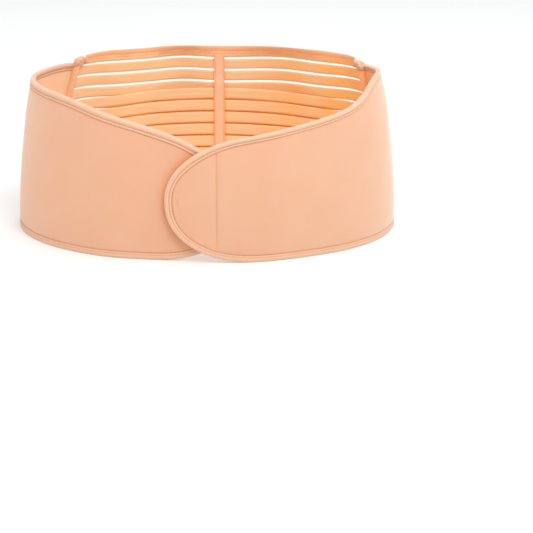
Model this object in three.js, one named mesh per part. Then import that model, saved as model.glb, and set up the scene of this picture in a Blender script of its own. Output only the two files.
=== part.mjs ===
import * as THREE from 'three';

// Hip support belt, closed at the front and standing on its lower edge.
// Millimetres, +Z up. The lapped front faces -Y, and +X is the viewer's right.
// The origin lies on the floor, under the middle of the belt.
//
// Every piece is placed on one wall that runs round the hips. A place on the wall is a distance
// along the outline from the centre back (positive towards +X), a height, and a depth that is
// positive outwards from the wall's outer face.

// Outline of the wall at the floor: half an oval in front and a flatter half behind
const HALF_WIDTH = 175;
const FRONT_REACH = 131;
const BACK_REACH = 85.5;
const FRONT_SQUARENESS = 2.1;
const BACK_SQUARENESS = 1.9;
const WIDEST_LINE_Y = 23;
const OUTLINE_STEPS = 1440;

// The wall leans in towards its top
const LEAN_HEIGHT = 150;
const LEAN = 15.75;
const LEAN_EXPONENT = 1.75;

// The taut elastic pulls the wall in, where it runs straight from each joint towards the centre back
const BACK_EASES = [
  { from: -135, to: -48, inwards: 4.6 },
  { from: 70, to: 145, inwards: 2.4 },
];

// Thicknesses, and the gap that neighbouring pieces keep
const GAP = 0.4;
const PANEL_THICKNESS = 3.2;
const BAND_THICKNESS = 1.1;
const TAPE_THICKNESS = 1;
const BINDING_THICKNESS = 0.9;
const BINDING_CHAMFER = 1.25;

// Front panels: where each one starts at the joint with the back and ends in its rounded tip
const PANEL_BINDING_WIDTH = 7.2;
const SLAB_ROWS = 5;
const STRAIGHT_STEPS = 24;
const TIP_STEPS = 9;
const TIP_RUN = 72;
const TIP_TOP_LENGTH = 70;
const TIP_BOTTOM_LENGTH = 82;
const TIP_ROUNDNESS = 2.2;
const LAP_START = 355;
const LAP_FULL = 412;
const PANELS = {
  left: {
    turn: -1,
    joint: 130,
    slant: 0.27,
    tip: 484,
    tipHeight: 52,
    lapDepth: -3.1,
    topEdge: [
      { along: 130, height: 141.6 },
      { along: 150, height: 142.6 },
      { along: 192, height: 139.4 },
      { along: 222, height: 137.9 },
      { along: 250, height: 138.6 },
      { along: 290, height: 137.4 },
      { along: 320, height: 134.2 },
      { along: 350, height: 127.8 },
      { along: 390, height: 118.8 },
      { along: 430, height: 107.5 },
      { along: 484, height: 91.2 },
    ],
  },
  right: {
    turn: 1,
    joint: 162.8,
    slant: 0.2,
    tip: 490.4,
    tipHeight: 55.4,
    lapDepth: 3.1,
    topEdge: [
      { along: 160, height: 145.4 },
      { along: 190, height: 144.8 },
      { along: 215, height: 144.6 },
      { along: 238, height: 146 },
      { along: 255, height: 145 },
      { along: 270, height: 141.2 },
      { along: 288, height: 133.4 },
      { along: 308, height: 126.6 },
      { along: 345, height: 120.2 },
      { along: 405, height: 111.6 },
      { along: 490.4, height: 99.8 },
    ],
  },
};

// Joints: the band ends are tucked behind the panel's slanted rear edge and covered by a tape
const REAR_INSET = 1.5;
const BAND_LAP = 6;
const JOINT_TUCK = 5.1;
const JOINT_EASE = 30;
const JOINT_TAPE_FROM = 2.2;
const JOINT_TAPE_TO = 9;
const JOINT_TAPE_LOW = 2;
const JOINT_TAPE_HIGH = 147;
const JOINT_TAPE_STEPS = 6;
const FOLD_STEPS = 6;
const FOLD_SIDES = 8;
const FOLD_ROUNDING = 0.7;
const FOLD_HIGH = 148.8;
const FOLD_HALF_DEPTH = 3.2;
const FOLDS = [
  { from: -4.6, to: 0.8, depth: -3.6, lowAt: () => 140.6 },
  { from: 1.2, to: 9.2, depth: -2.2, lowAt: (panelHeight) => panelHeight + 2 * GAP },
];

// Elastic back: an outer layer of full height and an inner layer over its lower part
const BACK_TOP = 153.4;
const TOP_DIP_FROM = 135;
const BACK_TOP_EDGE = [
  { along: -128, height: 149.2 },
  { along: -123.5, height: 149.9 },
  { along: -115, height: 150.9 },
  { along: -107, height: 151.7 },
  { along: -98, height: 152.3 },
  { along: -58, height: 152.3 },
  { along: -45, height: 152.9 },
  { along: 20, height: 153 },
  { along: 60, height: 153.4 },
  { along: 85, height: 153.3 },
  { along: 115, height: 153.2 },
  { along: 128, height: 152.6 },
  { along: 138, height: 151.9 },
  { along: 153.5, height: 151.5 },
  { along: 160, height: 150.8 },
];
const BACK_BINDING_WIDTH = 8.4;
const SLIT_COUNT = 12;
const FIRST_SLIT = 140.8;
const BAND_PITCH = 11.8;
const SLIT = 2;
const SLIT_AT_JOINT = 0.6;
const SLIT_EASE = 28;
const BAND_STEPS = 22;
const BAND_STEP_SPREAD = 0.4;
const TOP_BAND_STOP = 6.5;
const BOTTOM_BAND_STOP = 0.5;
const FIRST_INNER_BAND = 4;
const INNER_RAISE = 6.2;
const INNER_RAISE_HEIGHT = 100;
const INNER_RAISE_FALL = 1.6;
const BOW_LOW = 10;
const BOW_FULL = 50;
const BOW_FADE = 142;
const BOW_AT_TOP = 0.3;
const BOWS = [
  { from: -62, to: 12, out: 8 },
  { from: 12, to: 130, out: 8 },
];

// Tape down the centre back, stepped out where the inner layer ends
const CENTRE_TAPE_ALONG = 12;
const CENTRE_TAPE_WIDTH = 10.8;
const CENTRE_TAPE_STEPS = 12;
const INNER_LAYER_END = 113;
const INNER_LAYER_CLEAR = 125;

// Fastening between the laps
const PATCH_FROM = 444;
const PATCH_TO = 466;
const PATCH_THICKNESS = 2.2;
const PATCH_INSET = 11.5;
const PATCH_STEPS = 5;

const PANEL_CLOTH = { color: 0xf3b794, roughness: 0.85, metalness: 0 };
const BINDING_CLOTH = { color: 0xf6bd9c, roughness: 0.8, metalness: 0 };
const BAND_ELASTIC = { color: 0xf6ad70, roughness: 0.75, metalness: 0 };
const HOOK_TAPE = { color: 0xeeb593, roughness: 0.9, metalness: 0 };

function clamp(value, low, high) {
  return Math.min(Math.max(value, low), high);
}

function mix(from, to, share) {
  return from + (to - from) * share;
}

function smoothStep(from, to, value) {
  const share = clamp((value - from) / (to - from), 0, 1);
  return share * share * (3 - 2 * share);
}

function roundedPower(value, exponent) {
  return Math.sign(value) * Math.abs(value) ** exponent;
}

// Points round the outline at the floor with the distance walked, starting at the centre back
function traceOutline() {
  const points = [];
  let walked = 0;
  for (let i = 0; i <= OUTLINE_STEPS; i += 1) {
    const angle = Math.PI / 2 - (2 * Math.PI * i) / OUTLINE_STEPS;
    const behind = Math.sin(angle) > 0;
    const exponent = 2 / (behind ? BACK_SQUARENESS : FRONT_SQUARENESS);
    const reach = behind ? BACK_REACH : FRONT_REACH;
    const x = HALF_WIDTH * roundedPower(Math.cos(angle), exponent);
    const y = WIDEST_LINE_Y + reach * roundedPower(Math.sin(angle), exponent);
    if (i > 0) {
      const before = points[i - 1];
      walked += Math.hypot(x - before.x, y - before.y);
    }
    points.push({ x, y, walked });
  }
  return points;
}

const OUTLINE = traceOutline();
const LOOP_LENGTH = OUTLINE[OUTLINE_STEPS].walked;

function outlinePoint(along) {
  const wanted = ((along % LOOP_LENGTH) + LOOP_LENGTH) % LOOP_LENGTH;
  let low = 0;
  let high = OUTLINE_STEPS;
  while (high - low > 1) {
    const middle = Math.floor((low + high) / 2);
    if (OUTLINE[middle].walked > wanted) {
      high = middle;
    } else {
      low = middle;
    }
  }
  const a = OUTLINE[low];
  const b = OUTLINE[high];
  const share = (wanted - a.walked) / (b.walked - a.walked);
  return { x: mix(a.x, b.x, share), y: mix(a.y, b.y, share) };
}

function backEase(along) {
  let ease = 0;
  for (const { from, to, inwards } of BACK_EASES) {
    if (along > from && along < to) {
      ease += inwards * Math.sin((Math.PI * (along - from)) / (to - from)) ** 2;
    }
  }
  return ease;
}

// One place on the wall as a point in space; the outward direction is read over a short chord
const CHORD = 4;
function wallPoint(along, height, depth) {
  const here = outlinePoint(along);
  const before = outlinePoint(along - CHORD);
  const after = outlinePoint(along + CHORD);
  const length = Math.hypot(after.x - before.x, after.y - before.y);
  const outX = -(after.y - before.y) / length;
  const outY = (after.x - before.x) / length;
  const lean = LEAN * (Math.max(height, 0) / LEAN_HEIGHT) ** LEAN_EXPONENT;
  const out = depth - lean - backEase(along);
  return new THREE.Vector3(here.x + outX * out, here.y + outY * out, height);
}

// End of a slab: its profile lists one long side and then the other, back again
function slabCap(profile) {
  const last = profile.length - 1;
  const faces = [];
  for (let k = 0; 2 * k + 1 < last; k += 1) {
    faces.push([k, last - k, last - k - 1], [k, last - k - 1, k + 1]);
  }
  return faces;
}

// End of a folded strip, whose profile isn't convex
function foldedCap(profile) {
  const outline = profile.map(([across, depth]) => new THREE.Vector2(across, depth));
  return THREE.ShapeUtils.triangulateShape(outline, []);
}

// Closed body from one profile carried through a row of stations and capped at both ends
function loft(stationCount, profile, place, capOf = slabCap) {
  const points = [];
  for (let station = 0; station < stationCount; station += 1) {
    for (const [across, depth] of profile) {
      points.push(place(station, across, depth));
    }
  }
  const ring = profile.length;
  const faces = [];
  for (let station = 0; station + 1 < stationCount; station += 1) {
    for (let side = 0; side < ring; side += 1) {
      const a = station * ring + side;
      const b = station * ring + ((side + 1) % ring);
      faces.push([a, b, b + ring], [a, b + ring, a + ring]);
    }
  }
  const last = (stationCount - 1) * ring;
  for (const [a, b, c] of turnedLikeSides(capOf(profile), ring)) {
    faces.push([a, b, c], [a + last, c + last, b + last]);
  }
  return bodyGeometry(points, orientOutwards(points, faces));
}

// First cap's faces, turned so that they meet the sides edge against edge
function turnedLikeSides(cap, ring) {
  const isSideEdge = ([from, to]) => to === (from + 1) % ring;
  const follows = cap.some(([a, b, c]) => [[a, b], [b, c], [c, a]].some(isSideEdge));
  return follows ? cap.map(([a, b, c]) => [a, c, b]) : cap;
}

function orientOutwards(points, faces) {
  let volume = 0;
  for (const [a, b, c] of faces) {
    volume += points[a].dot(new THREE.Vector3().crossVectors(points[b], points[c]));
  }
  return volume > 0 ? faces : faces.map(([a, b, c]) => [a, c, b]);
}

function bodyGeometry(points, faces) {
  const geometry = new THREE.BufferGeometry();
  geometry.setFromPoints(points);
  geometry.setIndex(faces.flat());
  geometry.computeVertexNormals();
  return geometry;
}

const belt = new THREE.Group();

function addPiece(name, geometry, finish) {
  const piece = new THREE.Mesh(geometry, new THREE.MeshStandardMaterial(finish));
  piece.name = name;
  belt.add(piece);
}

// Height of a smooth edge at one distance along it
function edgeHeight(rows, along) {
  const lastStep = rows.length - 2;
  const step = clamp(rows.findIndex((row) => row.along > along) - 1, 0, lastStep);
  const index = along >= rows[lastStep].along ? lastStep : step;
  const slopeAt = (i) => {
    const before = rows[Math.max(i - 1, 0)];
    const after = rows[Math.min(i + 1, rows.length - 1)];
    return (after.height - before.height) / (after.along - before.along);
  };
  const a = rows[index];
  const b = rows[index + 1];
  const span = b.along - a.along;
  const t = (along - a.along) / span;
  const rise = (2 * t ** 3 - 3 * t ** 2 + 1) * a.height + (3 * t ** 2 - 2 * t ** 3) * b.height;
  const bend = (t ** 3 - 2 * t ** 2 + t) * slopeAt(index) + (t ** 3 - t ** 2) * slopeAt(index + 1);
  return rise + bend * span;
}

// Share of the tip's half height that its round end takes away at a distance from the tip
function tipCut(fromTip, length) {
  const share = clamp(1 - fromTip / length, 0, 1);
  return 1 - (1 - share ** TIP_ROUNDNESS) ** (1 / TIP_ROUNDNESS);
}

function panelTop(panel, along) {
  const height = edgeHeight(panel.topEdge, along);
  return height - (height - panel.tipHeight) * tipCut(panel.tip - along, TIP_TOP_LENGTH);
}

function panelBottom(panel, along) {
  return panel.tipHeight * tipCut(panel.tip - along, TIP_BOTTOM_LENGTH);
}

function jointAlong(panel, height) {
  return panel.joint + panel.slant * (LEAN_HEIGHT - height);
}

function panelPoint(panel, along, height, depth) {
  const lap = panel.lapDepth * smoothStep(LAP_START, LAP_FULL, along);
  return wallPoint(panel.turn * along, height, depth + lap);
}

// Edge of a panel from the joint along the top, round the tip and back along the bottom
function panelEdge(panel) {
  const straightEnd = panel.tip - TIP_RUN;
  const rearTop = jointAlong(panel, panelTop(panel, panel.joint)) + REAR_INSET;
  const rearBottom = jointAlong(panel, 0) + REAR_INSET;
  const top = [];
  const bottom = [];
  for (let i = 0; i < STRAIGHT_STEPS; i += 1) {
    const share = i / STRAIGHT_STEPS;
    const alongTop = mix(rearTop, straightEnd, share);
    const alongBottom = mix(rearBottom, straightEnd, share);
    top.push({ along: alongTop, height: panelTop(panel, alongTop) });
    bottom.push({ along: alongBottom, height: panelBottom(panel, alongBottom) });
  }
  for (let i = TIP_STEPS; i > 0; i -= 1) {
    const along = panel.tip - TIP_RUN * (i / TIP_STEPS) ** 2;
    top.push({ along, height: panelTop(panel, along) });
    bottom.push({ along, height: panelBottom(panel, along) });
  }
  const edge = [...top, { along: panel.tip, height: panel.tipHeight }, ...bottom.reverse()];
  return edge.map((point, i) => {
    const before = edge[Math.max(i - 1, 0)];
    const after = edge[Math.min(i + 1, edge.length - 1)];
    const runAlong = after.along - before.along;
    const runHeight = after.height - before.height;
    const length = Math.hypot(runAlong, runHeight);
    return { ...point, inAlong: runHeight / length, inHeight: -runAlong / length };
  });
}

function insetPoint(point, inset) {
  return {
    along: point.along + point.inAlong * inset,
    height: point.height + point.inHeight * inset,
  };
}

// Upright slab seen end on, in rows that follow the lean: shares of its height, and two depths
function slabProfile(outside, inside) {
  const shares = Array.from({ length: SLAB_ROWS + 1 }, (_, row) => row / SLAB_ROWS);
  const outer = shares.map((share) => [share, outside]);
  const inner = shares.map((share) => [share, inside]);
  return [...outer, ...inner.reverse()];
}

// Padded cloth wall whose edges lie inside the fold of the binding
function panelGeometry(panel, edge) {
  const columns = (edge.length - 1) / 2;
  const inset = BINDING_THICKNESS + GAP;
  const profile = slabProfile(0, -PANEL_THICKNESS);
  return loft(columns, profile, (column, share, depth) => {
    const top = insetPoint(edge[column], inset);
    const bottom = insetPoint(edge[edge.length - 1 - column], inset);
    const along = mix(bottom.along, top.along, share);
    return panelPoint(panel, along, mix(bottom.height, top.height, share), depth);
  });
}

// Folded strip seen end on: two legs and a flat fold, round a wall of the given thickness
function bindingProfile(width, wallThickness) {
  const outside = GAP + BINDING_THICKNESS;
  const inside = -wallThickness - outside;
  return [
    [width, outside],
    [BINDING_CHAMFER, outside],
    [0, outside - BINDING_CHAMFER],
    [0, inside + BINDING_CHAMFER],
    [BINDING_CHAMFER, inside],
    [width, inside],
    [width, inside + BINDING_THICKNESS],
    [BINDING_THICKNESS, inside + BINDING_THICKNESS],
    [BINDING_THICKNESS, outside - BINDING_THICKNESS],
    [width, outside - BINDING_THICKNESS],
  ];
}

function panelBindingGeometry(panel, edge) {
  const profile = bindingProfile(PANEL_BINDING_WIDTH, PANEL_THICKNESS);
  return loft(edge.length, profile, (station, inset, depth) => {
    const { along, height } = insetPoint(edge[station], inset);
    return panelPoint(panel, along, height, depth);
  }, foldedCap);
}

for (const [side, panel] of Object.entries(PANELS)) {
  const edge = panelEdge(panel);
  addPiece(`${side}_panel`, panelGeometry(panel, edge), PANEL_CLOTH);
  addPiece(`${side}_binding`, panelBindingGeometry(panel, edge), BINDING_CLOTH);
}

// Hook patch in the space between the right panel's tip and the left panel
function hookPatchGeometry() {
  const { left, right } = PANELS;
  const outside = right.lapDepth - PANEL_THICKNESS - GAP;
  const profile = slabProfile(outside, outside - PATCH_THICKNESS);
  return loft(PATCH_STEPS + 1, profile, (station, share, depth) => {
    const along = mix(PATCH_FROM, PATCH_TO, station / PATCH_STEPS);
    const leftAlong = LOOP_LENGTH - along;
    const high = Math.min(panelTop(right, along), panelTop(left, leftAlong)) - PATCH_INSET;
    const low = Math.max(panelBottom(right, along), panelBottom(left, leftAlong)) + PATCH_INSET;
    return wallPoint(along, mix(low, high, share), depth);
  });
}

addPiece('hook_patch', hookPatchGeometry(), HOOK_TAPE);

function distanceFromJoint(along, height) {
  const fromLeft = along + jointAlong(PANELS.left, height);
  const fromRight = jointAlong(PANELS.right, height) - along;
  return Math.min(fromLeft, fromRight);
}

// How strongly the nearer joint pulls a place on the back: 1 at the joint, 0 well away from it
function jointPull(along, height) {
  const reach = clamp(distanceFromJoint(along, height) / JOINT_EASE, 0, 1);
  return (1 - reach) ** 2;
}

// Slits narrow where the joint gathers the bands, apart from the last one, whose lower band is not tucked
function slitClosing(along, height) {
  const open = smoothStep(0, SLIT_EASE, distanceFromJoint(along, height));
  return mix(SLIT - SLIT_AT_JOINT, 0, open) / 2;
}

// The slack outer layer bows out between the centre tape and the sides, least where it is bound
function outerBow(along, height) {
  let bow = 0;
  for (const { from, to, out } of BOWS) {
    if (along > from && along < to) {
      bow += out * Math.sin((Math.PI * (along - from)) / (to - from)) ** 2;
    }
  }
  const bound = clamp((height - BOW_FADE) / (BACK_TOP - BOW_FADE), 0, 1);
  const slack = mix(1, BOW_AT_TOP, bound);
  return bow * slack * smoothStep(BOW_LOW, BOW_FULL, height);
}

// The tight inner layer rides up from the joints to the centre tape
function innerRaise(along, height) {
  const end = along < CENTRE_TAPE_ALONG
    ? -jointAlong(PANELS.left, height)
    : jointAlong(PANELS.right, height);
  const share = clamp((CENTRE_TAPE_ALONG - along) / (CENTRE_TAPE_ALONG - end), 0, 1);
  return INNER_RAISE * Math.sqrt(height / INNER_RAISE_HEIGHT) * (1 - share ** 2) ** INNER_RAISE_FALL;
}

const OUTER_LAYER = { depth: 0, bow: outerBow, raise: () => 0 };
const INNER_LAYER = { depth: -BAND_THICKNESS - GAP, bow: () => 0, raise: innerRaise };

// How far the back's top edge dips, over the left half and towards both joints
function topDip(along, height) {
  const share = clamp((height - TOP_DIP_FROM) / (BACK_TOP - TOP_DIP_FROM), 0, 1);
  const ends = [BACK_TOP_EDGE[0].along, BACK_TOP_EDGE[BACK_TOP_EDGE.length - 1].along];
  return share * (BACK_TOP - edgeHeight(BACK_TOP_EDGE, clamp(along, ends[0], ends[1])));
}

function backPoint(layer, tucked, along, height, depth) {
  const pull = tucked ? jointPull(along, height) : 0;
  const bow = layer.bow(along, height);
  const raised = height + layer.raise(along, height) - topDip(along, height);
  return wallPoint(along, raised, layer.depth + depth + bow - JOINT_TUCK * pull);
}

// Where a back piece stops at each joint: past it when tucked, short of it when butted
function backEnds(height, past) {
  return {
    left: -jointAlong(PANELS.left, height) - past,
    right: jointAlong(PANELS.right, height) + past,
  };
}

// Place of a back piece's station between its ends, with the stations closer near the ends
function backAlong(station, height, past) {
  const ends = backEnds(height, past);
  const turn = (2 * Math.PI * station) / BAND_STEPS;
  const share = (turn - BAND_STEP_SPREAD * Math.sin(turn)) / (2 * Math.PI);
  return mix(ends.left, ends.right, share);
}

function slitHeight(number) {
  return FIRST_SLIT - BAND_PITCH * (number - 1);
}

function bandGeometry(layer, number) {
  const isTop = number === 0;
  const isBottom = number === SLIT_COUNT;
  const edgeInset = BINDING_THICKNESS + GAP;
  const high = isTop ? BACK_TOP - edgeInset : slitHeight(number) - SLIT / 2;
  const low = isBottom ? edgeInset : slitHeight(number + 1) + SLIT / 2;
  const narrowsAbove = !isTop && !isBottom;
  const narrowsBelow = number + 1 < SLIT_COUNT;
  const rows = [{ height: high, toSlit: narrowsAbove ? 1 : 0 }, { height: low, toSlit: narrowsBelow ? -1 : 0 }];
  if (isTop) {
    rows.splice(1, 0, { height: BACK_TOP - BACK_BINDING_WIDTH, toSlit: 0 });
  }
  const outer = rows.map((row) => [row, 0]);
  const inner = rows.map((row) => [row, -BAND_THICKNESS]);
  const profile = [...outer, ...inner.reverse()];
  let past = BAND_LAP;
  if (isTop) {
    past = -TOP_BAND_STOP;
  }
  if (isBottom) {
    past = REAR_INSET - BOTTOM_BAND_STOP;
  }
  return loft(BAND_STEPS + 1, profile, (station, row, depth) => {
    const along = backAlong(station, row.height, past);
    const height = row.height + row.toSlit * slitClosing(along, row.height);
    return backPoint(layer, !isBottom, along, height, depth);
  });
}

for (let number = 0; number <= SLIT_COUNT; number += 1) {
  const label = String(number).padStart(2, '0');
  addPiece(`outer_band_${label}`, bandGeometry(OUTER_LAYER, number), BAND_ELASTIC);
  if (number >= FIRST_INNER_BAND) {
    addPiece(`inner_band_${label}`, bandGeometry(INNER_LAYER, number), BAND_ELASTIC);
  }
}

// Bindings folded over the first band and over the last band of both layers
function backTopBindingGeometry() {
  const profile = bindingProfile(BACK_BINDING_WIDTH, BAND_THICKNESS);
  return loft(BAND_STEPS + 1, profile, (station, inset, depth) => {
    const height = BACK_TOP - inset;
    const along = backAlong(station, height, -TOP_BAND_STOP);
    return backPoint(OUTER_LAYER, true, along, height, depth);
  }, foldedCap);
}

function backBottomBindingGeometry() {
  const wall = 2 * BAND_THICKNESS + GAP;
  const profile = bindingProfile(BACK_BINDING_WIDTH, wall);
  return loft(BAND_STEPS + 1, profile, (station, inset, depth) => {
    const along = backAlong(station, inset, REAR_INSET - BOTTOM_BAND_STOP);
    return backPoint(OUTER_LAYER, false, along, inset, depth);
  }, foldedCap);
}

addPiece('back_top_binding', backTopBindingGeometry(), BINDING_CLOTH);
addPiece('back_bottom_binding', backBottomBindingGeometry(), BINDING_CLOTH);

// Centre tape, close to the outer layer at its top and over the inner layer below
function centreTapeGeometry() {
  const low = BACK_BINDING_WIDTH + GAP;
  const high = BACK_TOP - BACK_BINDING_WIDTH - GAP;
  const profile = [
    [-CENTRE_TAPE_WIDTH / 2, 0],
    [CENTRE_TAPE_WIDTH / 2, 0],
    [CENTRE_TAPE_WIDTH / 2, -TAPE_THICKNESS],
    [-CENTRE_TAPE_WIDTH / 2, -TAPE_THICKNESS],
  ];
  const overInner = INNER_LAYER.depth - BAND_THICKNESS - GAP;
  return loft(CENTRE_TAPE_STEPS + 1, profile, (station, across, depth) => {
    const height = mix(low, high, station / CENTRE_TAPE_STEPS);
    const step = smoothStep(INNER_LAYER_END, INNER_LAYER_CLEAR, height);
    const face = mix(overInner, INNER_LAYER.depth, step);
    return wallPoint(CENTRE_TAPE_ALONG + across, height, face + depth);
  });
}

addPiece('centre_tape', centreTapeGeometry(), PANEL_CLOTH);

// Tape over the band ends, on the inside of the joint
function jointTapeGeometry(panel) {
  const outside = INNER_LAYER.depth - BAND_THICKNESS - JOINT_TUCK - GAP;
  const profile = [
    [JOINT_TAPE_FROM, outside],
    [JOINT_TAPE_TO, outside],
    [JOINT_TAPE_TO, outside - TAPE_THICKNESS],
    [JOINT_TAPE_FROM, outside - TAPE_THICKNESS],
  ];
  return loft(JOINT_TAPE_STEPS + 1, profile, (station, across, depth) => {
    const height = mix(JOINT_TAPE_LOW, JOINT_TAPE_HIGH, station / JOINT_TAPE_STEPS);
    return wallPoint(panel.turn * (jointAlong(panel, height) + across), height, depth);
  });
}

// Small rounded fold of cloth standing on the top edge at the joint
function jointFoldGeometry(panel, fold) {
  const profile = [];
  for (let side = 0; side < FOLD_SIDES; side += 1) {
    const angle = (2 * Math.PI * (side + 0.5)) / FOLD_SIDES;
    profile.push([Math.cos(angle), Math.sin(angle)]);
  }
  const low = fold.lowAt(panelTop(panel, panel.joint));
  return loft(FOLD_STEPS + 1, profile, (station, up, out) => {
    const share = station / FOLD_STEPS;
    const swell = Math.sqrt(1 - FOLD_ROUNDING * (2 * share - 1) ** 2);
    const along = panel.turn * (panel.joint + mix(fold.from, fold.to, share));
    const height = mix(low, FOLD_HIGH, (1 + up * swell) / 2);
    return wallPoint(along, height, fold.depth + out * FOLD_HALF_DEPTH * swell);
  });
}

for (const [side, panel] of Object.entries(PANELS)) {
  addPiece(`${side}_joint_tape`, jointTapeGeometry(panel), PANEL_CLOTH);
  FOLDS.forEach((fold, index) => {
    addPiece(`${side}_joint_fold_${index + 1}`, jointFoldGeometry(panel, fold), BINDING_CLOTH);
  });
}

export default belt;
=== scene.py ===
import math

import bmesh
import bpy
import numpy as np
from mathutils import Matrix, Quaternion, Vector
from mathutils.kdtree import KDTree


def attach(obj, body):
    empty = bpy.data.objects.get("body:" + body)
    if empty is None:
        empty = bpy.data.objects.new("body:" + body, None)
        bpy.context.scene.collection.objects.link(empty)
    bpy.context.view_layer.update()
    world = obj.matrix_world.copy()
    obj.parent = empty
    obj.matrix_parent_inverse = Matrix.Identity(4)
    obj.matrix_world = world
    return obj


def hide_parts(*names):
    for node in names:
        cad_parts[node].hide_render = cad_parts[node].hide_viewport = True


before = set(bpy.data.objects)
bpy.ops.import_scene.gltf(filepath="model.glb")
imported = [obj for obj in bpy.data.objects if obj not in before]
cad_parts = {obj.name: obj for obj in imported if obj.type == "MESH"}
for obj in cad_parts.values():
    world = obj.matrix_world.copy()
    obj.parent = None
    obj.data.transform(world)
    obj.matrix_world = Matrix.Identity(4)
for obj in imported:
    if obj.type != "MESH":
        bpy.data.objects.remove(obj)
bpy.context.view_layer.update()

# Front panels
# Two panels of brushed cloth on thin foam wrap the hips and lap at the front, the right one on top.
# They are cut with rounded tips and stand as one leaning wall, on which every other piece is placed.
HALF_WIDTH = 0.175
FRONT_REACH = 0.131
BACK_REACH = 0.0855
FRONT_SQUARENESS = 2.1
BACK_SQUARENESS = 1.9
WIDEST_LINE_Y = 0.023
OUTLINE_STEPS = 1440
OUTWARD_CHORD = 0.004
LEAN_HEIGHT = 0.150
LEAN = 0.01575
LEAN_EXPONENT = 1.75
BACK_EASES = (
    {"from": -0.135, "to": -0.048, "inwards": 0.0046},
    {"from": 0.070, "to": 0.145, "inwards": 0.0024},
)

outline_angle = math.pi / 2 - np.linspace(0, 2 * math.pi, OUTLINE_STEPS + 1)
outline_behind = np.sin(outline_angle) > 0
outline_power = 2 / np.where(outline_behind, BACK_SQUARENESS, FRONT_SQUARENESS)
outline_reach = np.where(outline_behind, BACK_REACH, FRONT_REACH)


def rounded_power(value, exponent):
    return np.sign(value) * np.abs(value) ** exponent


def walk_along(first, second):
    """Distance walked from a line's first point to each of its points."""
    return np.concatenate([[0], np.cumsum(np.hypot(np.diff(first), np.diff(second)))])


outline_x = HALF_WIDTH * rounded_power(np.cos(outline_angle), outline_power)
outline_y = WIDEST_LINE_Y + outline_reach * rounded_power(np.sin(outline_angle), outline_power)
outline_walk = walk_along(outline_x, outline_y)
LOOP_LENGTH = outline_walk[-1]


def outline_point(along):
    wanted = np.mod(along, LOOP_LENGTH)
    return np.interp(wanted, outline_walk, outline_x), np.interp(wanted, outline_walk, outline_y)


def bump_over(along, row):
    share = np.clip((along - row["from"]) / (row["to"] - row["from"]), 0, 1)
    return np.sin(math.pi * share) ** 2


def wall_point(along, height, depth):
    """Place on the wall: distance from the centre back, height, and depth outwards from its outer face."""
    along, height, depth = np.broadcast_arrays(along, height, depth)
    x, y = outline_point(along)
    x_before, y_before = outline_point(along - OUTWARD_CHORD)
    x_after, y_after = outline_point(along + OUTWARD_CHORD)
    chord = np.hypot(x_after - x_before, y_after - y_before)
    out = depth - LEAN * (np.maximum(height, 0) / LEAN_HEIGHT) ** LEAN_EXPONENT
    for row in BACK_EASES:
        out = out - row["inwards"] * bump_over(along, row)
    out_x = -(y_after - y_before) / chord
    out_y = (x_after - x_before) / chord
    return np.stack([x + out_x * out, y + out_y * out, height], -1)


def smooth_step(low, high, value):
    share = np.clip((value - low) / (high - low), 0, 1)
    return share * share * (3 - 2 * share)


PANEL_THICKNESS = 0.0032
TIP_RUN = 0.072
TIP_TOP_LENGTH = 0.070
TIP_BOTTOM_LENGTH = 0.082
TIP_ROUNDNESS = 2.2
LAP_START = 0.355
LAP_FULL = 0.412
REAR_INSET = 0.0015
TIP_WIDTH_FROM = -0.100
TIP_WIDTH_AT = -0.035
LOWER_WIDTH_AT = 0.050
HIP_TURN = {"from": 0.160, "to": 0.290}
HIP_PULL_FROM = 0.126
HIP_PULL_FULL = 0.142
LOWER_PRESS = 0.7
# A place along is measured from the centre back, and top_edge holds rows of place and height.
PANELS = {
    "left": {
        "turn": -1, "joint": 0.130, "slant": 0.27, "tip": 0.484, "tip_height": 0.052, "lap_depth": -0.0031,
        "top_width": 1.08, "lower_width": 0.9, "hip_press": 0.5, "hip_pull": 0.0006,
        "top_edge": (
            (0.130, 0.1416), (0.150, 0.1426), (0.192, 0.1394), (0.222, 0.1379), (0.250, 0.1386),
            (0.290, 0.1374), (0.320, 0.1342), (0.350, 0.1278), (0.390, 0.1188), (0.430, 0.1075),
            (0.484, 0.0912),
        ),
    },
    "right": {
        "turn": 1, "joint": 0.1628, "slant": 0.2, "tip": 0.4904, "tip_height": 0.0554, "lap_depth": 0.0031,
        "top_width": 0.82, "lower_width": 0.9, "hip_press": 0.75, "hip_pull": 0.0015,
        "top_edge": (
            (0.160, 0.1454), (0.190, 0.1448), (0.215, 0.1446), (0.238, 0.1460), (0.255, 0.1450),
            (0.270, 0.1412), (0.288, 0.1334), (0.308, 0.1266), (0.345, 0.1202), (0.405, 0.1116),
            (0.4904, 0.0998),
        ),
    },
}


def edge_height(rows, along):
    """Smooth curve through an edge's rows, with each row's slope read from its two neighbours."""
    places, heights = (np.array(column) for column in zip(*rows))
    last = len(places) - 1
    before = np.maximum(np.arange(last + 1) - 1, 0)
    after = np.minimum(np.arange(last + 1) + 1, last)
    slopes = (heights[after] - heights[before]) / (places[after] - places[before])
    index = np.clip(np.searchsorted(places, along, side="right") - 1, 0, last - 1)
    span = places[index + 1] - places[index]
    t = (along - places[index]) / span
    rise = (2 * t**3 - 3 * t**2 + 1) * heights[index] + (3 * t**2 - 2 * t**3) * heights[index + 1]
    bend = (t**3 - 2 * t**2 + t) * slopes[index] + (t**3 - t**2) * slopes[index + 1]
    return rise + bend * span


def tip_cut(from_tip, length):
    share = np.clip(1 - from_tip / length, 0, 1)
    return 1 - np.maximum(1 - share**TIP_ROUNDNESS, 0) ** (1 / TIP_ROUNDNESS)


def panel_top(panel, along):
    height = edge_height(panel["top_edge"], along)
    return height - (height - panel["tip_height"]) * tip_cut(panel["tip"] - along, TIP_TOP_LENGTH)


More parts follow.
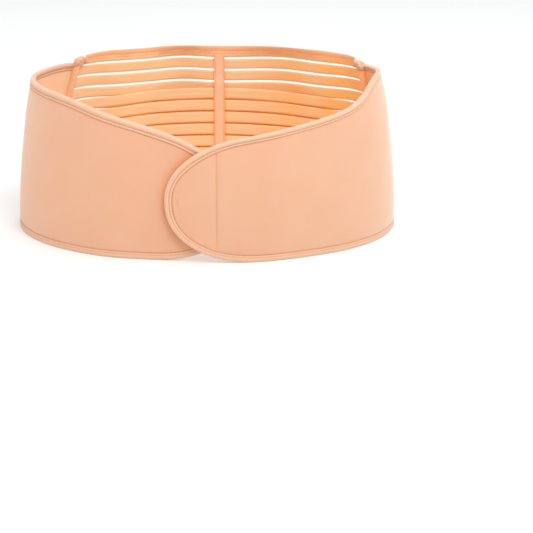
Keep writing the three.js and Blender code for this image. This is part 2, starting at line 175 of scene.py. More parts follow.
def panel_bottom(panel, along):
    return panel["tip_height"] * tip_cut(panel["tip"] - along, TIP_BOTTOM_LENGTH)


def joint_along(panel, height):
    return panel["joint"] + panel["slant"] * (LEAN_HEIGHT - height)


def panel_point(panel, along, height, depth):
    """Place on a panel, which steps out or in at the lap and is drawn in at the top of the hip."""
    lap = panel["lap_depth"] * smooth_step(LAP_START, LAP_FULL, along)
    top_of_hip = bump_over(along, HIP_TURN) * smooth_step(HIP_PULL_FROM, HIP_PULL_FULL, height)
    return wall_point(panel["turn"] * along, height, depth + lap - panel["hip_pull"] * top_of_hip)


def panel_edge(panel, straight_steps, tip_steps):
    """Panel's edge from the joint along the top, round the tip and back below, with the way inwards."""
    straight_end = panel["tip"] - TIP_RUN
    rear_top = joint_along(panel, panel_top(panel, panel["joint"])) + REAR_INSET
    rear_bottom = joint_along(panel, 0) + REAR_INSET
    share = np.arange(straight_steps) / straight_steps
    tip_along = panel["tip"] - TIP_RUN * (np.arange(tip_steps, -1, -1) / tip_steps) ** 2
    top = np.concatenate([rear_top + (straight_end - rear_top) * share, tip_along])
    bottom = np.concatenate([rear_bottom + (straight_end - rear_bottom) * share, tip_along])[-2::-1]
    along = np.concatenate([top, bottom])
    height = np.concatenate([panel_top(panel, top), panel_bottom(panel, bottom)])
    run_along = np.gradient(along)
    run_height = np.gradient(height)
    length = np.hypot(run_along, run_height)
    walk = walk_along(along, height)
    past_tip = walk - walk[straight_steps + tip_steps]
    to_tip = (1 - panel["top_width"]) * smooth_step(TIP_WIDTH_FROM, TIP_WIDTH_AT, past_tip)
    to_lower = (panel["lower_width"] - 1) * smooth_step(0, LOWER_WIDTH_AT, past_tip)
    width = panel["top_width"] + to_tip + to_lower
    on_hip = bump_over(along, HIP_TURN) * smooth_step(-LOWER_WIDTH_AT, -2 * LOWER_WIDTH_AT, past_tip)
    pressed = panel["hip_press"] * on_hip + LOWER_PRESS * smooth_step(0, LOWER_WIDTH_AT, past_tip)
    return {
        "along": along, "height": height, "width": width, "pressed": pressed,
        "in_along": run_height / length, "in_height": -run_along / length,
    }


def new_piece(name, points, faces, cloth_place, painted_shade, materials, face_material=None):
    """Closed mesh of one piece with its cloth map, in metres along and across, and its painted shade."""
    mesh = bpy.data.meshes.new(name)
    mesh.from_pydata(points.tolist(), [], faces)
    corners = np.empty(len(mesh.loops), np.int32)
    mesh.loops.foreach_get("vertex_index", corners)
    cloth_map = mesh.uv_layers.new(name="cloth")
    cloth_map.uv.foreach_set("vector", cloth_place[corners].astype(np.float32).ravel())
    shade_layer = mesh.attributes.new("painted_shade", "FLOAT", "POINT")
    shade_layer.data.foreach_set("value", np.clip(painted_shade, 0, 1).astype(np.float32))
    if face_material is not None:
        mesh.polygons.foreach_set("material_index", face_material)
    shell = bmesh.new()
    shell.from_mesh(mesh)
    bmesh.ops.remove_doubles(shell, verts=shell.verts, dist=1e-6)
    bmesh.ops.recalc_face_normals(shell, faces=shell.faces)
    for face in shell.faces:
        face.smooth = True
    shell.to_mesh(mesh)
    shell.free()
    for material in materials:
        mesh.materials.append(material)
    piece = bpy.data.objects.new(name, mesh)
    bpy.context.scene.collection.objects.link(piece)
    return piece


ROUGHNESS_DRIFT = 0.06


def fabric(name, pale, deep, painted_shade, sheen, glow, roughness, valley_shade, weave, painted_glow=0):
    """Cloth whose tone drifts between pale and deep, with painted shade in its creases and shaded places and
    in the weave's valleys.

    The weave gives that drift, the relief of the threads and how deep the relief is.
    A painted orange glow in the shaded places, by the given share, stands in for light through thin cloth
    from behind.
    """
    material = bpy.data.materials.new(name)
    material.use_nodes = True
    nodes = material.node_tree.nodes
    links = material.node_tree.links
    shader = nodes["Principled BSDF"]
    place = nodes.new("ShaderNodeTexCoord")
    cloth = nodes.new("ShaderNodeUVMap")
    cloth.uv_map = "cloth"
    drift, relief, relief_depth = weave(nodes, links, place.outputs["Object"], cloth.outputs["UV"])
    tone = nodes.new("ShaderNodeMix")
    tone.data_type = "RGBA"
    tone.inputs["A"].default_value = (*deep, 1)
    tone.inputs["B"].default_value = (*pale, 1)
    links.new(drift, tone.inputs["Factor"])
    # Painted shade: the mask mixes the tone towards the painted shade colour, and the weave's valleys are
    # painted darker too.
    folded = nodes.new("ShaderNodeAttribute")
    folded.attribute_name = "painted_shade"
    sunk = nodes.new("ShaderNodeMapRange")
    sunk.inputs["To Min"].default_value = valley_shade
    sunk.inputs["To Max"].default_value = 0
    links.new(relief, sunk.inputs["Value"])
    dark = nodes.new("ShaderNodeMath")
    dark.use_clamp = True
    links.new(folded.outputs["Fac"], dark.inputs[0])
    links.new(sunk.outputs["Result"], dark.inputs[1])
    shade = nodes.new("ShaderNodeMix")
    shade.data_type = "RGBA"
    shade.inputs["B"].default_value = (*painted_shade, 1)
    links.new(dark.outputs["Value"], shade.inputs["Factor"])
    links.new(tone.outputs["Result"], shade.inputs["A"])
    links.new(shade.outputs["Result"], shader.inputs["Base Color"])
    bump = nodes.new("ShaderNodeBump")
    bump.inputs["Strength"].default_value = 0.6
    bump.inputs["Distance"].default_value = relief_depth
    links.new(relief, bump.inputs["Height"])
    links.new(bump.outputs["Normal"], shader.inputs["Normal"])
    gloss = nodes.new("ShaderNodeMapRange")
    gloss.inputs["To Min"].default_value = roughness + ROUGHNESS_DRIFT
    gloss.inputs["To Max"].default_value = roughness - ROUGHNESS_DRIFT
    links.new(relief, gloss.inputs["Value"])
    links.new(gloss.outputs["Result"], shader.inputs["Roughness"])
    # Painted glow: the shaded places glow orange, standing in for light through thin cloth.
    through = nodes.new("ShaderNodeMath")
    through.operation = "MULTIPLY"
    through.inputs[1].default_value = painted_glow
    links.new(folded.outputs["Fac"], through.inputs[0])
    links.new(through.outputs["Value"], shader.inputs["Emission Strength"])
    shader.inputs["Emission Color"].default_value = (1.0, 0.27, 0.01, 1)
    shader.inputs["Specular IOR Level"].default_value = 0.25
    shader.inputs["Subsurface Weight"].default_value = glow
    shader.inputs["Subsurface Radius"].default_value = (1.0, 0.45, 0.22)
    shader.inputs["Subsurface Scale"].default_value = 0.004
    shader.inputs["Sheen Weight"].default_value = sheen
    shader.inputs["Sheen Roughness"].default_value = 0.5
    shader.inputs["Sheen Tint"].default_value = (1.0, 0.93, 0.88, 1)
    return material


def noise_relief(nodes, links, place, scale, detail):
    grain = nodes.new("ShaderNodeTexNoise")
    grain.inputs["Scale"].default_value = scale
    grain.inputs["Detail"].default_value = detail
    links.new(place, grain.inputs["Vector"])
    return grain.outputs["Fac"]


def brushed_nap(nodes, links, place, cloth):
    """Short brushed pile over a fine knit: grains about a millimetre across, in soft clouds."""
    clouds = noise_relief(nodes, links, place, 30, 5)
    return clouds, noise_relief(nodes, links, place, 1100, 4), 0.00012


PANEL_CLOTH = fabric(
    "panel_cloth", pale=(0.72, 0.435, 0.295), deep=(0.685, 0.385, 0.245), painted_shade=(0.78, 0.25, 0.06),
    sheen=0.6, glow=0.35, roughness=0.86, valley_shade=0.2, weave=brushed_nap,
)
# The lining is its own cloth; its paler, more orange tone is partly painted light, for the light bounced
# about inside the belt.
PANEL_LINING = fabric(
    "panel_lining", pale=(0.89, 0.59, 0.385), deep=(0.86, 0.53, 0.325), painted_shade=(0.90, 0.34, 0.08),
    sheen=0.3, glow=0.35, roughness=0.86, valley_shade=0.12, weave=brushed_nap,
)
PANEL_STRAIGHT_STEPS = 230
PANEL_TIP_STEPS = 260
BOUND_WIDTH = 0.0067
RING_INSETS = np.array([1.4, 3.0, 4.8, 5.8, 6.4, 6.75, 7.1, 7.6, 8.4, 10.0, 12.6]) / 1000
INNER_ROWS = 34
SQUEEZE = 0.0004
EDGE_GROOVE = 0.00012
EDGE_GROOVE_REACH = 0.0006
EDGE_LINE_INSET = 0.0069
EDGE_LINE_REACH = 0.00045
EDGE_LINE_SHADE = 0.7
PILLOW = 0.0002
PILLOW_EASE = 0.006
EDGE_PUCKER = 0.00009
EDGE_PUCKER_PITCH = 0.0064
EDGE_PUCKER_DRIFT = 0.047
EDGE_PUCKER_SWAY = 1.4
EDGE_PUCKER_EASE = 0.004
SOFT_WAVES = (
    {"out": 0.00035, "along": 0.131, "up": 0.29, "start": 0.6},
    {"out": 0.0002, "along": 0.083, "up": -0.17, "start": 2.1},
    {"out": 0.00008, "along": 0.047, "up": 0.061, "start": 4.0},
)
SOFT_WAVE_EASE = 0.012
LINING_WAVES = 0.6
LOWER_SWELL = {"left": 0.0013, "right": 0.0018}
LOWER_SWELL_FROM = {"left": 0.130, "right": 0.150}
LOWER_SWELL_FULL = 0.015
SWELL_AT_BINDING = 0.4
SWELL_EASE = 0.010
SEAM_ALONG = 0.4449
SEAM_CLEAR = 0.010
SEAM_HOLLOW = 0.0009
SEAM_HOLLOW_REACH = 0.0032
SEAM_LINE = 0.0007
SEAM_LINE_REACH = 0.0006
SEAM_SHADE = 0.28
# Painted shadow of the right panel's flap on the left panel.
FLAP_SHADE = 0.48
FLAP_SHADE_REACH = 0.0042
FLAP_SHADE_FALL = 1.5
LINING_SHADE = 0.5
LINING_SHADE_FROM = 0.235
LINING_SHADE_FULL = 0.175


def beside_flap(along, height):
    """How close a place on the left panel lies to the edge of the right panel on top of it, for that flap's
    painted shadow.
    """
    edge = panel_edge(PANELS["right"], straight_steps=150, tip_steps=200)
    tree = KDTree(len(edge["along"]))
    for index, place in enumerate(zip(LOOP_LENGTH - edge["along"], edge["height"])):
        tree.insert((*place, 0), index)
    tree.balance()
    gap = np.array([tree.find((*place, 0))[2] for place in zip(along.ravel(), height.ravel())])
    return np.exp(-((gap / FLAP_SHADE_REACH) ** FLAP_SHADE_FALL)).reshape(along.shape)


def edge_swell(inset, along):
    """How far a padded face sinks near the binding, with small puckers from the stitches."""
    past = np.maximum(inset - BOUND_WIDTH, 0)
    bound = np.where(inset < BOUND_WIDTH, -SQUEEZE, 0)
    groove = -EDGE_GROOVE * np.exp(-(((inset - EDGE_LINE_INSET) / EDGE_GROOVE_REACH) ** 2))
    pillow = -PILLOW * np.exp(-past / PILLOW_EASE)
    sway = EDGE_PUCKER_SWAY * np.sin(2 * math.pi * along / EDGE_PUCKER_DRIFT)
    pucker_phase = 2 * math.pi * along / EDGE_PUCKER_PITCH + sway
    pucker = EDGE_PUCKER * np.sin(pucker_phase) * np.exp(-past / EDGE_PUCKER_EASE)
    return bound + groove + pillow + np.where(inset < BOUND_WIDTH, 0, pucker)


def soft_waves(inset, along, height):
    """Slow unevenness of the cloth between its bound edges."""
    free = 1 - np.exp(-np.maximum(inset - BOUND_WIDTH, 0) / SOFT_WAVE_EASE)
    return free * sum(
        row["out"] * np.sin(2 * math.pi * (along / row["along"] + height / row["up"]) + row["start"])
        for row in SOFT_WAVES
    )


def lower_swell(side, along, height):
    """How far a panel's lower half stands out from the wall, where no other panel lies on it."""
    swell = LOWER_SWELL[side] * smooth_step(LOWER_SWELL_FROM[side], LOWER_SWELL_FULL, height)
    if side == "left":
        swell = swell * (1 - smooth_step(LAP_START, LAP_FULL, along))
    return swell


def outer_face(side, inset, along, height):
    """Depth of a panel's outer face, which is fuller in its lower half."""
    held = (1 - SWELL_AT_BINDING) * np.exp(-np.maximum(inset - BOUND_WIDTH, 0) / SWELL_EASE)
    swell = (1 - held) * lower_swell(side, along, height)
    return edge_swell(inset, along) + soft_waves(inset, along, height) + swell


def build_panel(side, panel):
    edge = panel_edge(panel, PANEL_STRAIGHT_STEPS, PANEL_TIP_STEPS)
    columns = PANEL_STRAIGHT_STEPS + PANEL_TIP_STEPS + 1
    upper = {key: values[:columns, None] for key, values in edge.items()}
    lower = {key: values[::-1][:columns, None] for key, values in edge.items()}
    rings = {}
    for key in ("along", "height"):
        top = upper[key] + upper["in_" + key] * upper["width"] * RING_INSETS
        bottom = lower[key] + lower["in_" + key] * lower["width"] * RING_INSETS
        share = np.arange(1, INNER_ROWS + 1) / (INNER_ROWS + 1)
        inner = top[:, -1:] * (1 - share) + bottom[:, -1:] * share
        rings[key] = np.concatenate([top, inner, bottom[:, ::-1]], 1)
    along = rings["along"]
    height = rings["height"]
    ring_count = len(RING_INSETS)
    span_along = along[:, -ring_count] - along[:, ring_count - 1]
    span_height = height[:, -ring_count] - height[:, ring_count - 1]
    span = np.hypot(span_along, span_height)
    nearer = np.minimum(share, 1 - share)
    inner_inset = RING_INSETS[-1] + span[:, None] * nearer
    ringed = np.broadcast_to(RING_INSETS, (columns, ring_count))
    inset = np.concatenate([ringed, inner_inset, ringed[:, ::-1]], 1)

    # Painted shade along the binding's edge, on both faces of the panel.
    painted_edge_line = EDGE_LINE_SHADE * np.exp(-(((inset - EDGE_LINE_INSET) / EDGE_LINE_REACH) ** 2))
    outer_depth = outer_face(side, inset, along, height)
    outer_painted_shade = painted_edge_line
    inner_painted_shade = painted_edge_line
    if side == "left":
        # Painted shadow of the right panel's flap.
        outer_painted_shade = outer_painted_shade + FLAP_SHADE * beside_flap(along, height)
    if side == "right":
        from_seam = along - SEAM_ALONG
        clear = smooth_step(BOUND_WIDTH, SEAM_CLEAR, inset)
        seam_hollow = np.exp(-((from_seam / SEAM_HOLLOW_REACH) ** 2))
        seam_line = np.exp(-((from_seam / SEAM_LINE_REACH) ** 2))
        outer_depth = outer_depth - clear * (SEAM_HOLLOW * seam_hollow + SEAM_LINE * seam_line)
        # Painted shade in the seam line, over its real groove.
        outer_painted_shade = outer_painted_shade + SEAM_SHADE * clear * seam_line
        # Painted shade on the right panel's lining towards the joint.
        near_joint = smooth_step(LINING_SHADE_FROM, LINING_SHADE_FULL, along)
        inner_painted_shade = inner_painted_shade + LINING_SHADE * near_joint
    lining_waves = LINING_WAVES * soft_waves(inset, along, height)
    inner_depth = -PANEL_THICKNESS - edge_swell(inset, along) + lining_waves

    outer = panel_point(panel, along, height, outer_depth)
    inner = panel_point(panel, along, height, inner_depth)
    rows = along.shape[1]
    count = columns * rows
    points = np.concatenate([outer.reshape(-1, 3), inner.reshape(-1, 3)])
    cloth_place = np.tile(np.stack([along.ravel(), height.ravel()], 1), (2, 1))
    painted_shade = np.concatenate([outer_painted_shade.ravel(), inner_painted_shade.ravel()])

    outer_faces = []
    inner_faces = []
    for column in range(columns - 1):
        start = column * rows
        for row in range(rows - 1):
            a = start + row
            outer_faces.append((a, a + 1, a + 1 + rows, a + rows))
            inner_faces.append((count + a, count + a + rows, count + a + 1 + rows, count + a + 1))
        for a in (start, start + rows - 1):
            outer_faces.append((a, a + rows, count + a + rows, count + a))
    for row in range(rows - 1):
        outer_faces.append((row, row + 1, count + row + 1, count + row))
    face_material = [0] * len(outer_faces) + [1] * len(inner_faces)
    piece = new_piece(
        f"{side}_padded_panel", points, outer_faces + inner_faces, cloth_place, painted_shade,
        [PANEL_CLOTH, PANEL_LINING], face_material,
    )
    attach(piece, "root")
    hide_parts(f"{side}_panel")
    return piece


for side, panel in PANELS.items():
    build_panel(side, panel)

# Panel bindings
# A strip of stretch knit tape is folded round each panel's top edge, tip and lower edge.
# One sewn line holds it, which leaves a full roll on the edge, a crease, and a small lip on the panel.
STITCH_LINE = 0.82
STITCH_PITCH = 0.0027
STATIONS_PER_STITCH = 4
ROLL_STEPS = 6
# A row holds the share of the width, the rise over the panel, the pull of the stitches and the painted
# shade.
BINDING_FACE = (
    (1.000, -0.00005, 0.0, 1.00),
    (0.985, 0.00012, 0.3, 0.80),
    (0.950, 0.00030, 1.0, 0.00),
    (0.880, 0.00034, 1.0, 0.00),
    (0.820, 0.00030, 1.0, 0.00),
    (0.760, 0.00030, 1.0, 0.00),
    (0.715, 0.00022, 0.6, 0.10),
    (0.680, 0.00008, 0.3, 0.80),
    (0.640, 0.00008, 0.3, 0.80),
    (0.610, 0.00030, 0.6, 0.20),
    (0.560, 0.00066, 0.9, 0.00),
    (0.460, 0.00100, 0.9, 0.00),
    (0.360, 0.00116, 0.5, 0.00),
)
PUCKER_DEPTH = 0.00018
# Painted shade in the needle holes.
HOLE_SHADE = 0.5
HOLE_REACH = 0.06
FOLD_WALL_DEPTH = 0.00012
FOLD_WALL_INSET = 0.0011
INNER_ROLL = 0.001
ROLL_WAVES = (
    {"share": 0.04, "length": 0.037, "start": 0.0},
    {"share": 0.03, "length": 0.0213, "start": 1.7},
)


def wave_relief(nodes, links, cloth, direction, scale, distortion=0, detail=2):
    ribs = nodes.new("ShaderNodeTexWave")
    ribs.bands_direction = direction
    ribs.inputs["Scale"].default_value = scale
    ribs.inputs["Distortion"].default_value = distortion
    ribs.inputs["Detail"].default_value = detail
    links.new(cloth, ribs.inputs["Vector"])
    return ribs.outputs["Fac"]


def blended_reliefs(nodes, links, first, second, share):
    both = nodes.new("ShaderNodeMix")
    both.inputs["Factor"].default_value = share
    links.new(first, both.inputs["A"])
    links.new(second, both.inputs["B"])
    return both.outputs["Result"]


def knit_ribs(nodes, links, place, cloth):
    """Fine ribs across the tape, a little uneven, over a soft grain."""
    ribs = wave_relief(nodes, links, cloth, "DIAGONAL", 290, distortion=1.5, detail=1)
    grain = noise_relief(nodes, links, place, 2200, 2)
    knit = blended_reliefs(nodes, links, ribs, grain, 0.5)
    return noise_relief(nodes, links, place, 60, 3), knit, 0.00042


BINDING_CLOTH = fabric(
    "binding_cloth", pale=(0.725, 0.505, 0.375), deep=(0.69, 0.455, 0.32), painted_shade=(0.74, 0.26, 0.08),
    sheen=0.45, glow=0.0, roughness=0.8, valley_shade=0.38, weave=knit_ribs,
)


def binding_ring(width, wall, fullness):
    """Folded binding seen end on, round a wall: inset, depth, pucker, painted shade and painted shade in the
    needle holes.
    """
    share, rise, pucker, painted_shade = (np.array(column) for column in zip(*BINDING_FACE))
    rise = rise * fullness
    turn = np.linspace(math.pi / 2, 0, ROLL_STEPS + 1)[1:]
    crest = share[-1] * width
    roll_inset = crest * (1 - np.cos(turn))
    roll_depth = -wall / 2 + (rise[-1] + wall / 2) * np.sin(turn)
    half_inset = np.concatenate([share * width, roll_inset])
    half_depth = np.concatenate([rise, roll_depth])
    half_pucker = fullness * np.concatenate([pucker, pucker[-1] * np.sin(turn) ** 2])
    half_painted_shade = np.concatenate([painted_shade, np.zeros(ROLL_STEPS)])
    half_hole_shade = fullness * HOLE_SHADE * np.exp(-(((share - STITCH_LINE) / HOLE_REACH) ** 2))
    half_hole_shade = np.concatenate([half_hole_shade, np.zeros(ROLL_STEPS)])
    inside_inset = np.array([width, FOLD_WALL_INSET, FOLD_WALL_INSET, width])
    inside_depth = np.repeat([FOLD_WALL_DEPTH - wall, -FOLD_WALL_DEPTH], 2)
    return {
        "inset": np.concatenate([half_inset, half_inset[-2::-1], inside_inset]),
        "depth": np.concatenate([half_depth, -wall - half_depth[-2::-1], inside_depth]),
        "pucker": np.concatenate([half_pucker, -half_pucker[-2::-1], np.zeros(4)]),
        "painted_shade": np.concatenate([half_painted_shade, half_painted_shade[-2::-1], np.ones(4)]),
        "hole_shade": np.concatenate([half_hole_shade, half_hole_shade[-2::-1], np.zeros(4)]),
    }


def loft_piece(name, points, cloth_place, painted_shade, material):
    """Piece from rings of points at a row of stations, closed at both ends."""
    stations, ring = points.shape[:2]
    faces = []
    for station in range(stations - 1):
        start = station * ring
        for k in range(ring):
            a = start + k
            b = start + (k + 1) % ring
            faces.append((a, b, b + ring, a + ring))
    faces.append(tuple(range(ring)))
    faces.append(tuple(range((stations - 1) * ring, stations * ring)))
    painted_shade = np.broadcast_to(painted_shade, (stations, ring)).ravel()
    return new_piece(name, points.reshape(-1, 3), faces, cloth_place.reshape(-1, 2), painted_shade, [material])


def roll_wobble(walk):
    turns = 2 * math.pi * walk
    return 1 + sum(row["share"] * np.sin(turns / row["length"] + row["start"]) for row in ROLL_WAVES)


def binding_points(ring, walk, place):
    """Binding's points at every station; place turns walk, inset and depth into points."""
    walk = walk[:, None]
    pull = -np.cos(2 * math.pi * walk / STITCH_PITCH)
    proud = ring["depth"] > 0
    sunk = ring["depth"] < ring["depth"][len(BINDING_FACE) + ROLL_STEPS - 1] * 2
    depth = np.where(proud, ring["depth"] * roll_wobble(walk), ring["depth"])
    depth = np.where(sunk, ring["depth"] - (roll_wobble(walk) - 1) * INNER_ROLL, depth)
    depth = depth + PUCKER_DEPTH * ring["pucker"] * pull
    inset = np.broadcast_to(ring["inset"], depth.shape)
    return place(walk, inset, depth)


def binding_painted_shade(ring, walk):
    """The binding's painted shade in its creases, with painted shade in a needle hole between one stitch and
    the next.
    """
    hole_shade = ((1 - np.cos(2 * math.pi * walk[:, None] / STITCH_PITCH)) / 2) ** 4
    return ring["painted_shade"] + ring["hole_shade"] * hole_shade


def even_edge(edge):
    """The edge again, with a station at every quarter of a stitch."""
    walk = walk_along(edge["along"], edge["height"])
    step = STITCH_PITCH / STATIONS_PER_STITCH
    even = np.arange(0, walk[-1], step)
    return even, {key: np.interp(even, walk, values) for key, values in edge.items()}


STITCH_LENGTH = 0.0020
STITCH_THICKNESS = 0.00060


def stitch_tree():
    """Geometry nodes that lay one short thread on each point of a sewn line."""
    tree = bpy.data.node_groups.new("sewn_line", "GeometryNodeTree")
    tree.interface.new_socket("Line", in_out="INPUT", socket_type="NodeSocketGeometry")
    tree.interface.new_socket("Stitch Length", in_out="INPUT", socket_type="NodeSocketFloat")
    tree.interface.new_socket("Stitch Thickness", in_out="INPUT", socket_type="NodeSocketFloat")
    tree.interface.new_socket("Thread", in_out="INPUT", socket_type="NodeSocketMaterial")
    tree.interface.new_socket("Stitches", in_out="OUTPUT", socket_type="NodeSocketGeometry")
    nodes = tree.nodes
    links = tree.links
    given = nodes.new("NodeGroupInput")
    made = nodes.new("NodeGroupOutput")
    spots = nodes.new("GeometryNodeCurveToPoints")
    spots.mode = "EVALUATED"
    links.new(given.outputs["Line"], spots.inputs["Curve"])
    thread = nodes.new("GeometryNodeMeshUVSphere")
    thread.inputs["Segments"].default_value = 6
    thread.inputs["Rings"].default_value = 5
    thread.inputs["Radius"].default_value = 0.5
    size = nodes.new("ShaderNodeCombineXYZ")
    links.new(given.outputs["Stitch Thickness"], size.inputs["X"])
    links.new(given.outputs["Stitch Thickness"], size.inputs["Y"])
    links.new(given.outputs["Stitch Length"], size.inputs["Z"])
    laid = nodes.new("GeometryNodeInstanceOnPoints")
    links.new(spots.outputs["Points"], laid.inputs["Points"])
    links.new(thread.outputs["Mesh"], laid.inputs["Instance"])
    links.new(spots.outputs["Rotation"], laid.inputs["Rotation"])
    links.new(size.outputs["Vector"], laid.inputs["Scale"])
    real = nodes.new("GeometryNodeRealizeInstances")
    links.new(laid.outputs["Instances"], real.inputs["Geometry"])
    finish = nodes.new("GeometryNodeSetMaterial")
    links.new(real.outputs["Geometry"], finish.inputs["Geometry"])
    links.new(given.outputs["Thread"], finish.inputs["Material"])
    links.new(finish.outputs["Geometry"], made.inputs["Stitches"])
    return tree


SEWN_LINE = stitch_tree()


def twisted_thread(nodes, links, place, cloth):
    return noise_relief(nodes, links, place, 200, 1), noise_relief(nodes, links, place, 3000, 1), 0.00008


THREAD = fabric(
    "thread", pale=(0.88, 0.60, 0.43), deep=(0.83, 0.53, 0.36), painted_shade=(0.80, 0.30, 0.085),
    sheen=0.3, glow=0.0, roughness=0.7, valley_shade=0.1, weave=twisted_thread,
)


def sew(name, lines):
    """Rows of stitches as one plain mesh, one thread at each point of each line."""
    curve = bpy.data.curves.new(name, "CURVE")
    curve.dimensions = "3D"
    for line in lines:
        spline = curve.splines.new("POLY")
        spline.points.add(len(line) - 1)
        weighted = np.column_stack([line, np.ones(len(line))]).astype(np.float32)
        spline.points.foreach_set("co", weighted.ravel())
    row = bpy.data.objects.new(name + "_row", curve)
    bpy.context.scene.collection.objects.link(row)
    modifier = row.modifiers.new("sewn_line", "NODES")
    values = {"Stitch Length": STITCH_LENGTH, "Stitch Thickness": STITCH_THICKNESS, "Thread": THREAD}
    modifier.node_group = SEWN_LINE
    for socket in SEWN_LINE.interface.items_tree:
        if socket.name in values:
            modifier[socket.identifier] = values[socket.name]
    view = bpy.context.evaluated_depsgraph_get()
    mesh = bpy.data.meshes.new_from_object(row.evaluated_get(view), depsgraph=view)
    mesh.name = name
    bpy.data.objects.remove(row)
    for polygon in mesh.polygons:
        polygon.use_smooth = True
    piece = bpy.data.objects.new(name, mesh)
    bpy.context.scene.collection.objects.link(piece)
    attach(piece, "root")
    return piece


STITCH_SINK = 0.00030
# Share by which the painted shade eases where the binding is pressed flat.
PAINTED_SHADE_EASE = 0.55


def build_panel_binding(side, panel):
    walk, edge = even_edge(panel_edge(panel, straight_steps=600, tip_steps=400))
    ring = binding_ring(BOUND_WIDTH, PANEL_THICKNESS, 1.0)

    def place(walked, inset, depth):
        station = np.rint(walked / STITCH_PITCH * STATIONS_PER_STITCH).astype(int)
        along = edge["along"][station] + edge["in_along"][station] * edge["width"][station] * inset
        height = edge["height"][station] + edge["in_height"][station] * edge["width"][station] * inset
        flattened = np.where(depth > 0, depth * (1 - edge["pressed"][station]), depth)
        outward = np.clip(1 + 2 * depth / PANEL_THICKNESS, 0, 1)
        lifted = flattened + outward * SWELL_AT_BINDING * lower_swell(side, along, height)
        return panel_point(panel, along, height, lifted)

    points = binding_points(ring, walk, place)
    across = walk_along(ring["inset"], ring["depth"])
    cloth_place = np.stack(np.broadcast_arrays(walk[:, None], across), -1)
    # Painted shade, eased where the binding is pressed flat.
    painted_shade = binding_painted_shade(ring, walk) * (1 - PAINTED_SHADE_EASE * edge["pressed"][:, None])
    piece = loft_piece(f"{side}_folded_binding", points, cloth_place, painted_shade, BINDING_CLOTH)
    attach(piece, "root")
    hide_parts(f"{side}_binding")
    sewn = walk[::STATIONS_PER_STITCH, None]
    line_inset = np.full_like(sewn, STITCH_LINE * BOUND_WIDTH)
    outer_line = place(sewn, line_inset, np.full_like(sewn, STITCH_SINK))[:, 0]
    inner_line = place(sewn, line_inset, np.full_like(sewn, -PANEL_THICKNESS - STITCH_SINK))[:, 0]
    sew(f"{side}_binding_stitches", [outer_line, inner_line])


for side, panel in PANELS.items():
    build_panel_binding(side, panel)

# Hook patch
# A plain strip of hook tape closes the front, sewn under the right panel's tip behind the vertical seam.
# The laps hide it, so it is one flat piece with a rough face.
PATCH_FROM = SEAM_ALONG
PATCH_TO = 0.466
PATCH_TOP_DEPTH = -0.0005
PATCH_THICKNESS = 0.0022
PATCH_INSET = 0.0115
PATCH_COLUMNS = 12
PATCH_ROWS = 21


def hook_pile(nodes, links, place, cloth):
    return noise_relief(nodes, links, place, 80, 2), noise_relief(nodes, links, place, 1500, 2), 0.0004


HOOK_TAPE = fabric(
    "hook_tape", pale=(0.76, 0.43, 0.28), deep=(0.68, 0.36, 0.22), painted_shade=(0.50, 0.20, 0.09),
    sheen=0.1, glow=0.0, roughness=0.85, valley_shade=0.3, weave=hook_pile,
)


def build_hook_patch():
    stations = np.linspace(PATCH_FROM, PATCH_TO, PATCH_COLUMNS)[:, None]
    rows = np.linspace(0, 1, PATCH_ROWS)
    left_along = LOOP_LENGTH - stations
    left = PANELS["left"]
    right = PANELS["right"]
    high = np.minimum(panel_top(right, stations), panel_top(left, left_along)) - PATCH_INSET
    low = np.maximum(panel_bottom(right, stations), panel_bottom(left, left_along)) + PATCH_INSET
    share = np.concatenate([rows, rows[::-1]])
    depth = np.repeat([PATCH_TOP_DEPTH, PATCH_TOP_DEPTH - PATCH_THICKNESS], PATCH_ROWS)
    height = low + (high - low) * share
    points = wall_point(stations, height, depth)
    cloth_place = np.stack(np.broadcast_arrays(stations, height), -1)
    piece = loft_piece("hook_tape_patch", points, cloth_place, 0.0, HOOK_TAPE)
    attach(piece, "root")
    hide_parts("hook_patch")


build_hook_patch()

# Elastic bands
# The back is two layers of flat woven elastic with open slits between the bands; the inner layer is lower.
# Their ends are tucked behind the panels' rear edges, and the slack outer layer bows out.
BACK_TOP = 0.1534
TOP_DIP_FROM = 0.135
BACK_TOP_EDGE = (
    (-0.128, 0.1492), (-0.1235, 0.1499), (-0.115, 0.1509), (-0.107, 0.1517), (-0.098, 0.1523),
    (-0.058, 0.1523), (-0.045, 0.1529), (0.020, 0.1530), (0.060, 0.1534), (0.085, 0.1533),
    (0.115, 0.1532), (0.128, 0.1526), (0.138, 0.1519), (0.1535, 0.1515), (0.160, 0.1508),
)
SLIT_COUNT = 12
FIRST_SLIT = 0.1408
BAND_PITCH = 0.0118
SLIT = 0.0018
INNER_SLIT = 0.0014
SLIT_AT_JOINT = 0.0006
SLIT_EASE = 0.028
BAND_THICKNESS = 0.0011
BAND_CROWN = 0.00012
BAND_STEPS = 170
LAYER_GAP = 0.0004
SHADED_FACE = 1.0
RIGHT_SHADE = 0.42
RIGHT_SHADE_FROM = 0.03
RIGHT_SHADE_FULL = 0.11
